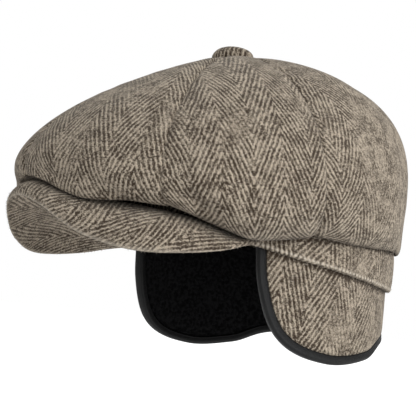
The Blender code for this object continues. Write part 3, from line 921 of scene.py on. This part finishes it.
def button_points():
    """A squared quarter ellipse from the top to the rim, then a fall to the cloth below. The
    first and the last row are single points, which close the button."""
    turn = np.linspace(0, 360, BUTTON_COLUMNS + 1)[None, :-1]
    angle = np.linspace(BUTTON_TIP, 1, BUTTON_ROWS + 1)[:, None] * math.pi / 2
    gather = np.sin(angle) ** GATHER_POWER * np.cos(np.radians(turn) * BUTTON_GATHERS)
    radius = BUTTON_DIAMETER / 2 * np.sin(angle) ** (2 / BUTTON_SQUARENESS)
    radius = radius * (1 + GATHER_DEPTH * gather)
    seat = smooth_crown(turn, down_at(turn, radius)) + np.array([0, 0, GAP])
    top = CROWN_HEIGHT + BUTTON_HEIGHT
    rim = seat[-1:, :, 2] + BUTTON_RIM
    share = np.cos(angle).clip(0) ** (2 / BUTTON_SQUARENESS)
    dome = join(seat[..., 0], seat[..., 1], rim + (top - rim) * share)
    under = seat[-1:] - np.array([0, 0, BUTTON_SINK])
    middle = seat.mean(axis=1, keepdims=True)[-1:]
    tucked = [under + (middle - under) * pull for pull in BUTTON_TUCK]
    return np.concatenate([np.array([0, -BUTTON_FORWARD, top]) + 0 * under, dome] + tucked)


points = button_points()
points, faces = close_poles(points, grid_quads(*points.shape[:2], wraps=True))
cloth = laid(points[:, :2], *BUTTON_GRAIN)
button = add_piece("covered_button", points, faces, WOOL, ["button"], cloth)

# %% [markdown]
# ## The band
#
# The band is a folded strip round the head. Its lower edge is a soft fold with one row of
# stitches above it, which draw in a shallow channel. A bevelled curve could make it, but the
# stitches need points of their own, so its closed section is carried round the head's oval.

# %% Band
BAND_COLUMNS = 860
BAND_POINTS = {"outside": 36, "fold": 12, "inside": 14}
STITCH_COUNT = 215
STITCH_HEIGHT = 4.2 * MM
STITCH_WIDTH = 0.9 * MM
STITCH_DEPTH = 0.6 * MM
STITCH_PULL = 0.4
EDGE_SPOT = 0.95
EDGE_SPOT_HEIGHT = 1.6 * MM
EDGE_SPOT_WIDTH = 0.8 * MM
CREASE_WIDTH = 1.1 * MM
BAND_SWELL = 0.7 * MM
BAND_SOFT = 0.25 * MM
BAND_SOFT_COUNT = 19
BAND_GRAIN = (32, 14)
BAND_HAIRS = {"count": 1500, "rows": (28, 46), "seed": 8}


def band_section():
    """The band's section from its top outside, round its lower fold, to its top inside.

    Out swells by a sine of the height, and the fold is a half circle.
    """
    high = np.linspace(BAND_HEIGHT, BAND_WALL / 2, BAND_POINTS["outside"])
    out = BAND_WALL + BAND_SWELL * np.sin(high / BAND_HEIGHT * math.pi)
    round_fold = np.linspace(0, math.pi, BAND_POINTS["fold"])[1:-1]
    fold_out = BAND_WALL / 2 * (1 + np.cos(round_fold))
    fold_high = BAND_WALL / 2 * (1 - np.sin(round_fold))
    inside = np.linspace(BAND_WALL / 2, BAND_HEIGHT, BAND_POINTS["inside"])
    outs = np.concatenate([out, fold_out, 0 * inside])
    return outs[:, None], np.concatenate([high, fold_high, inside])[:, None]


turn = np.linspace(0, 360, BAND_COLUMNS + 1)[None, :-1]
angle = np.radians(turn)
out, high = band_section()
outside = out > BAND_WALL / 2
soft = BAND_SOFT * np.sin(angle * BAND_SOFT_COUNT) * np.sin(high / BAND_HEIGHT * math.pi)
threads = np.cos(angle * STITCH_COUNT)
pull = 1 - STITCH_PULL + STITCH_PULL * threads
stitch = STITCH_DEPTH * bell(high - STITCH_HEIGHT, STITCH_WIDTH) * pull * outside
points = head_line(turn, out + soft - stitch, rim_height(turn) + high)
cloth = laid(join(angle * MEAN_RADIUS, run(points, 0)[:, :1]), *BAND_GRAIN)
# Lighter spots at the stitches along the lower edge, less painted shade in the crease under the
# crown's fold.
spots = EDGE_SPOT * bell(high - EDGE_SPOT_HEIGHT, EDGE_SPOT_WIDTH) * (0.5 + 0.5 * threads)
to_crown = high - BAND_HEIGHT * crown_at(turn, "fold_low")
painted_light_and_flecks = (spots - CREASE_SHADE * bell(to_crown, CREASE_WIDTH)) * outside
faces = grid_quads(*points.shape[:2], wraps=True, closed=True).tolist()
points, faces, painted_light_and_flecks, home = with_hairs(points, faces, painted_light_and_flecks, **BAND_HAIRS)
band = add_piece("head_band", points, faces, WOOL, ["band"], cloth.reshape(-1, 2)[home])
paint_light_and_flecks(band, painted_light_and_flecks)

# %% [markdown]
# ## The peak
#
# The peak is a stiff board covered in wool. It swells up from its free edge, arches across and
# droops at both sides. A flat board could be bent by modifiers, but its shape is easier to read
# from a table. Its middle surface is a straight line from the band to the edge, raised by a curve.
# The cover lies half a wall above and below, and is pinched into a seam at the edge.

# %% The peak's lines
PEAK_REACH = 60.2 * MM
PEAK_DROOP = 12.2 * MM
PEAK_WALL = 4 * MM
PEAK_SWELL = 11 * MM
PEAK_END_TURN = 64.7
SWELL_TOP = 2 / 3 * math.sqrt(1 / 3)
PEAK_EDGE = {
    "along": (0, 0.25, 0.5, 0.75, 0.9, 1),
    "side": (0, 0.328, 0.685, 1.020, 1.127, 1.040),
    "reach": (1.0, 0.966, 0.811, 0.529, 0.214, 0.020),
    "height": (1.37, 0.90, -0.47, -0.93, -0.43, 0.18),
    "swell": (0.94, 0.69, 1.15, 1.05, 0.20, 0.0),
}


def peak_edge(along):
    """The free edge, from the right corner at -1 to the left one at 1."""
    share = np.abs(along)
    corner = head_line(PEAK_END_TURN, BAND_WALL + GAP, rim_height(PEAK_END_TURN))
    tip = -(HEAD_LENGTH / 2 + BAND_WALL + PEAK_REACH)
    side = np.sign(along) * curve(PEAK_EDGE, "side", share, False, False)
    forward = corner[1] + (tip - corner[1]) * curve(PEAK_EDGE, "reach", share, True, False)
    height = corner[2] + PEAK_DROOP * curve(PEAK_EDGE, "height", share, True, False)
    return join(corner[0] * side, forward, height)


def peak_middle(along, share):
    """A line from the band to the edge, raised by share sqrt(1 - share), which is SWELL_TOP at
    most, to its full swell."""
    turn = along * PEAK_END_TURN
    inner = head_line(turn, BAND_WALL + GAP, rim_height(turn) + PEAK_WALL / 2)
    swell = PEAK_SWELL * curve(PEAK_EDGE, "swell", np.abs(along), True, False)
    rise = swell * share * np.sqrt(1 - share) / SWELL_TOP
    return inner + (peak_edge(along) - inner) * share[..., None] + join(0, 0, rise)


# %% Peak
PEAK_COLUMNS = 200
PEAK_ROWS = 56
PEAK_FAN = 0.5
PEAK_PINCH = 5 * MM
PEAK_HIGHLIGHT = 0.45
PEAK_HIGHLIGHT_ROWS = 2.2
PEAK_HAIRS = {"count": 2200, "rows": (48, 64), "seed": 7}
PEAK_TOP_GRAIN = (5, -9)
PEAK_UNDER_GRAIN = (4, -20)


def peak_points():
    """The cover's top, then its underside back to the band.

    The rows are closer together at the edge. There the two cloths are pinched into a seam, and
    the wall thins over PEAK_PINCH as a quarter of an ellipse.
    """
    along = np.linspace(-1, 1, PEAK_COLUMNS + 1)[None, :]
    share = np.sin(np.linspace(0, 1, PEAK_ROWS + 1)[:, None] * math.pi / 2)
    middle = peak_middle(along, share)
    upright = (1 - share)[..., None]
    way = unit(grid_facing(middle) * (1 - upright) + np.array([0, 0, 1]) * upright)
    length = np.linalg.norm(peak_edge(along) - middle[:1], axis=-1)
    to_edge = np.clip((1 - share) * length / PEAK_PINCH, 0, 1)
    half = way * (PEAK_WALL / 2 * np.sqrt(1 - (1 - to_edge) ** 2))[..., None]
    return np.concatenate([middle + half, (middle - half)[-2::-1]])


def peak_pattern(points):
    """Where one face of the peak lay on its flat pattern piece.

    The grain is a level direction, fanned out to the sides by PEAK_FAN of the turn and laid down
    on the cloth. Each step of the grid has a part across it and a part along it, two dot products.
    They are summed up along the row at the band, from its middle outward, and down each column.
    """
    angle = np.radians(np.linspace(-1, 1, PEAK_COLUMNS + 1) * PEAK_END_TURN * PEAK_FAN)
    level = join(np.sin(angle), -np.cos(angle), 0)
    normal = grid_facing(points)
    grain = unit(level - normal * (level * normal).sum(axis=-1, keepdims=True))
    places = []
    for way in (np.cross(normal, grain), grain):
        parts = []
        for axis in (1, 0):
            mean_way = (np.delete(way, -1, axis) + np.delete(way, 0, axis)) / 2
            parts.append(summed((np.diff(points, axis=axis) * mean_way).sum(axis=-1), axis))
        first, down = parts[0][:1], parts[1]
        places.append(first - first[:, PEAK_COLUMNS // 2] + down)
    return join(*places)


def peak_highlight():
    """A painted highlight along the rounded edge: a set strength times a bell of each point's rows
    from the edge.
    """
    rows = np.arange(2 * PEAK_ROWS + 1)[:, None] - PEAK_ROWS
    return PEAK_HIGHLIGHT * bell(rows, PEAK_HIGHLIGHT_ROWS) + np.zeros((1, PEAK_COLUMNS + 1))


def peak_faces():
    """The grid's quads, closed at the band, and a strip across the wall at each corner.

    A row of the top and the row of the underside that lies below it have the same rank from
    either end of the grid, and the last face of a strip is a triangle at the edge.
    """
    rows, columns = 2 * PEAK_ROWS + 1, PEAK_COLUMNS + 1
    faces = grid_quads(rows, columns, closed=True).tolist()
    for row in range(PEAK_ROWS):
        ring = sorted({row, row + 1, rows - 2 - row, rows - 1 - row})
        faces += [[r * columns for r in ring[::-1]], [r * columns + columns - 1 for r in ring]]
    return faces


def peak_corner_cloth(faces, *cloths):
    """One cloth place for each face's corner: the faces above the edge use the top's map and the
    others the underside's, so the two maps may break at the edge as the two cloths do."""
    maps = [np.concatenate([cloth, cloth[-2::-1]]).reshape(-1, 2) for cloth in cloths]
    edge = PEAK_ROWS * (PEAK_COLUMNS + 1)
    return np.concatenate([maps[int(min(face) >= edge)][face] for face in faces])


points = peak_points()
top_cloth = laid(peak_pattern(points[: PEAK_ROWS + 1]), *PEAK_TOP_GRAIN)
under_cloth = laid(peak_pattern(points[PEAK_ROWS:][::-1]), *PEAK_UNDER_GRAIN)
points, faces, painted_light_and_flecks, home = with_hairs(points, peak_faces(), peak_highlight(), **PEAK_HAIRS)
cloth = peak_corner_cloth([home[face] for face in faces], top_cloth, under_cloth)
peak = add_piece("peak_cover", points, faces, WOOL, ["peak"], cloth)
# A painted highlight along the peak's rounded edge, and lighter hairs.
paint_light_and_flecks(peak, painted_light_and_flecks)

# %% [markdown]
# ## The flap
#
# One long piece goes from temple to temple round the ears and the neck. It is wool outside and
# black fleece inside, and a binding closes its edge. One thick sheet could stand for it, but the
# real one is three pieces. They follow the same edge line and the same slow sway, so they stay
# together. The wool has a painted shadow just under the band, where little light comes in.

# %% The flap's lines
CLOTH_WALL = 1.6 * MM
FLAP_DROP = 55 * MM
FLAP_START_TURN = 65.3
FLAP_TUCK = 27 * MM
LINING_WALL = 3.5 * MM
BINDING_WIDTH = 6.2 * MM
BINDING_PROUD = 0.5 * MM
EDGE_STEP = 0.005
SWAY = 0.8 * MM
SWAY_COUNT = 6
SWAY_PHASE = 1.2
FLAP_EDGE = {
    "along": (0, 0.2, 0.4, 0.55, 0.7, 0.82, 0.91, 1),
    "turn": (114.7, 71.8, 51.4, 31.8, 13.6, 5.5, 1.4, 0),
    "drop": (0.573, 0.625, 0.858, 1.000, 0.930, 0.683, 0.332, 0),
}


def edge_place(along):
    """The edge's run round the head and its height."""
    share = np.abs(along)
    turn = FLAP_START_TURN + curve(FLAP_EDGE, "turn", share, False, False)
    turn = np.where(along < 0, 360 - turn, turn)
    drop = FLAP_DROP * curve(FLAP_EDGE, "drop", share, True, False)
    return join(np.radians(turn) * MEAN_RADIUS, rim_height(turn) - drop)


def flap_edge(along, inset):
    """The turn and height of the edge moved in by `inset`, square to the edge's own way."""
    ahead = edge_place(np.clip(along - EDGE_STEP, -1, 1))
    way = unit(ahead - edge_place(np.clip(along + EDGE_STEP, -1, 1)))
    moved = edge_place(along) + join(-way[..., 1], way[..., 0]) * np.asarray(inset)[..., None]
    return np.degrees(moved[..., 0] / MEAN_RADIUS), moved[..., 1]


def flap_face(turn, out, height):
    """A point of the flap: the head's oval with a slow sway that grows below the rim."""
    fall = np.clip((rim_height(turn) - height) / FLAP_DROP, 0, 1)
    sway = SWAY * fall * np.sin(np.radians(turn) * SWAY_COUNT + SWAY_PHASE)
    return head_line(turn, out + sway, height)


# %% The flap's wool
FLAP_COLUMNS = 280
FLAP_ROWS = 40
FLAP_GRAIN = (21, 8)
BINDING_LAP = 0.94
CUSHION = 0.5 * MM
CUSHION_WIDTH = 3 * MM
LINING_GAP = 0.1 * MM
UNDER_BAND_SHADOW = 0.5
UNDER_BAND_PLACE = 0.8 * MM
UNDER_BAND_WIDTH = 1.8 * MM


def flap_grid():
    """The flap's turns and heights from its top to its edge, which the binding laps over."""
    along = np.linspace(1, -1, FLAP_COLUMNS + 1)[None, :]
    share = np.linspace(0, 1, FLAP_ROWS + 1)[:, None]
    edge_turn, edge_height = flap_edge(along, BINDING_WIDTH * BINDING_LAP)
    top_turn = edge_turn[:, :1] + (edge_turn[:, -1:] - edge_turn[:, :1]) * (1 - along) / 2
    top_height = rim_height(top_turn) + FLAP_TUCK
    turn = top_turn + (edge_turn - top_turn) * share
    return turn, top_height + (edge_height - top_height) * share


def cushion(turn, height):
    """The metres d to the free edge, and 1 - e^(-d / CUSHION_WIDTH), which nears 1 inside."""
    to_edge = run(join(np.radians(turn) * MEAN_RADIUS, height)[::-1], 0)[::-1]
    return to_edge, 1 - np.exp(-to_edge / CUSHION_WIDTH)


def shell(outer, inner):
    """A closed sheet of two faces' grids, joined round the border."""
    rows, columns = outer.shape[:2]
    front = grid_quads(rows, columns)
    back = front[:, ::-1] + rows * columns
    index = np.arange(rows * columns).reshape(rows, columns)
    border = np.concatenate([index[:-1, 0], index[-1, :-1], index[:0:-1, -1], index[0, :0:-1]])
    ahead = np.roll(border, -1)
    count = rows * columns
    sides = np.stack([ahead, border, border + count, ahead + count], axis=-1)
    return np.stack([outer, inner]), np.concatenate([front, back, sides]).tolist()


turn, height = flap_grid()
to_edge, full = cushion(turn, height)
wool_out = -GAP - BINDING_PROUD
lining_out = wool_out - CLOTH_WALL - LINING_GAP
outer = flap_face(turn, wool_out + CUSHION * full, height)
inner = flap_face(turn, wool_out - CLOTH_WALL, height)
points, faces = shell(outer, inner)
flat = laid(join(np.radians(turn) * MEAN_RADIUS, -height), *FLAP_GRAIN)
flap = add_piece("flap_wool", points, faces, WOOL, ["ear_flap"], np.stack([flat, flat]))
# Painted shadow on the wool just under the band's lower edge.
shade = -UNDER_BAND_SHADOW * bell(height - rim_height(turn) + UNDER_BAND_PLACE, UNDER_BAND_WIDTH)
paint_light_and_flecks(flap, np.stack([shade, shade]).ravel())

# %% [markdown]
# ## Black fleece
#
# Fleece is a deep, soft pile with no shine. Real hair would take millions of strands, so the
# lining is a puffy sheet whose small lumps are noise in the relief, and its sheen is faint.

# %% Fleece
FLEECE_DEEP = (0.0008, 0.0008, 0.0009, 1)
FLEECE_TIPS = (0.0080, 0.0080, 0.0085, 1)
FLEECE_SPOTS = {"tufts": 420, "fibres": 2200}
FLEECE_RELIEF = (0.9 * MM, 0.8)
PILE_FROM_TO = (-0.15, 0.15)
LINING_EDGE = 0.72
LINING_SEAM = 4 * MM
LINING_SEAM_WIDTH = 0.9 * MM
LINING_SEAM_DEPTH = 0.5 * MM


def fleece_material():
    """Two sizes of noise give the pile's tufts and its fibres."""
    nodes = Nodes(bpy.data.materials.new("black fleece"))
    tufts = nodes.noise(FLEECE_SPOTS["tufts"], 4, nodes.place())
    fibres = nodes.noise(FLEECE_SPOTS["fibres"], 2, nodes.place())
    pile = nodes.math("MULTIPLY_ADD", fibres, 0.5, tufts)
    colour = nodes.mix(nodes.between(pile, *PILE_FROM_TO), FLEECE_DEEP, FLEECE_TIPS)
    nodes.bump(pile, *FLEECE_RELIEF)
    nodes.put(nodes.shader, {"Base Color": colour, "Roughness": 1})
    nodes.put(nodes.shader, {"Specular IOR Level": 0.05, "Sheen Weight": 0.02})
    return nodes.owner


FLEECE = fleece_material()
seam_line = LINING_SEAM_DEPTH * bell(to_edge - LINING_SEAM, LINING_SEAM_WIDTH)
deep = lining_out - LINING_WALL * (LINING_EDGE + (1 - LINING_EDGE) * full) + seam_line
points, faces = shell(flap_face(turn, deep, height), flap_face(turn, lining_out, height))
lining = add_piece("flap_fleece", points, faces, FLEECE, ["flap_lining"])

# %% [markdown]
# ## The binding
#
# A strip of black tape is folded over the flap's edge. It has a soft sheen and fine ribs along
# its length, and a patchy painted highlight turns its rim grey. A bevelled curve could twist on
# its way, so its section, a flattened round, is carried along the edge and stays square to the
# flap. It is 6.2 mm wide, a little wider than the solid's 5 mm, as the real one shows 6 to 7 mm.

# %% Binding
BINDING_THICKNESS = CLOTH_WALL + GAP + LINING_WALL + 2 * BINDING_PROUD
BINDING_COLUMNS = 420
BINDING_POINTS = 80
RIB_COUNT = 9
RIB_HEIGHT = 0.16 * MM
BINDING_DEEP = (0.0015, 0.0015, 0.0017, 1)
BINDING_HIGHLIGHT = (0.0115, 0.0118, 0.0120, 1)
BINDING_SPOTS = {"weave": 1800, "highlight_patches": 130}
BINDING_SATIN = (-0.2, 0.2, 0.34, 0.54)
BINDING_HIGHLIGHT_PATCHES = (-0.2, 0.25, 0.6, 1.0)
BINDING_RIM = (0.3, 0.75)
BINDING_RELIEF = (0.5 * MM, 0.8)
BINDING_POWERS = (0.55, 0.8)


def binding_material():
    """Black with a satin roughness, and a fine weave in the relief. Its painted number is 1 at the
    rim, where a patchy painted highlight turns the tape a dull grey, and 0 beside the wool, where
    it stays deep black."""
    nodes = Nodes(bpy.data.materials.new("black binding"))
    weave = nodes.noise(BINDING_SPOTS["weave"], 2, nodes.place())
    highlight_patches = nodes.noise(BINDING_SPOTS["highlight_patches"], 3, nodes.place())
    # Painted highlight: the tape's rim is lightened in patches.
    rim = nodes.between(nodes.painted("painted_light_and_flecks"), *BINDING_RIM)
    highlight = nodes.math("MULTIPLY", rim, nodes.between(highlight_patches, *BINDING_HIGHLIGHT_PATCHES))
    colour = nodes.mix(highlight, BINDING_DEEP, BINDING_HIGHLIGHT)
    satin = nodes.between(weave, *BINDING_SATIN)
    inputs = {"Base Color": colour, "Roughness": satin, "Specular IOR Level": 0.18}
    nodes.put(nodes.shader, inputs)
    nodes.bump(weave, *BINDING_RELIEF)
    return nodes.owner


def binding_points():
    """The section, a flattened round with ribs, carried along the edge. Its inset follows the
    cosine and its depth the sine of the angle, each to one of BINDING_POWERS. The second array
    says how near each point is to the rim."""
    around = np.linspace(0, 2 * math.pi, BINDING_POINTS + 1)[None, :-1]
    inset = BINDING_WIDTH * (0.5 - 0.5 * squared(np.cos(around), BINDING_POWERS[0]))
    depth = BINDING_THICKNESS * (0.5 - 0.5 * squared(np.sin(around), BINDING_POWERS[1]))
    along = np.linspace(1, -1, BINDING_COLUMNS + 1)[:, None]
    turn, height = flap_edge(along, inset)
    out = -GAP - depth + RIB_HEIGHT * np.cos(around * RIB_COUNT) * np.sin(around)
    rings = flap_face(turn, out, height)
    lift = np.array([0, 0, FLAP_TUCK])
    points = np.concatenate([rings[:1] + lift, rings, rings[-1:] + lift])
    return points, 1 - inset / BINDING_WIDTH + np.zeros((len(points), 1))


BINDING = binding_material()
points, rim = binding_points()
rows, columns = points.shape[:2]
faces = grid_quads(rows, columns, wraps=True).tolist()
faces += [list(range(columns)), list(range(rows * columns))[: -columns - 1 : -1]]
binding = add_piece("flap_edge_binding", points, faces, BINDING, ["flap_binding"])
# The rim's nearness, painted on the binding for its painted highlight.
paint_light_and_flecks(binding, rim.ravel())

# %% [markdown]
# ## Sizes and finish
#
# The dressed cap may stand only a little proud of the plain solids. The growth of each side of
# its box over the solids' box is printed.

# %% Print the growth and finish
boxes = {"cad": [list(v) for v in cad_box], "visual": [list(v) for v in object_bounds()]}
sides = zip(*(sum(box, []) for box in boxes.values()))
print("grown by mm:", [round((dressed - plain) / MM, 2) for plain, dressed in sides])
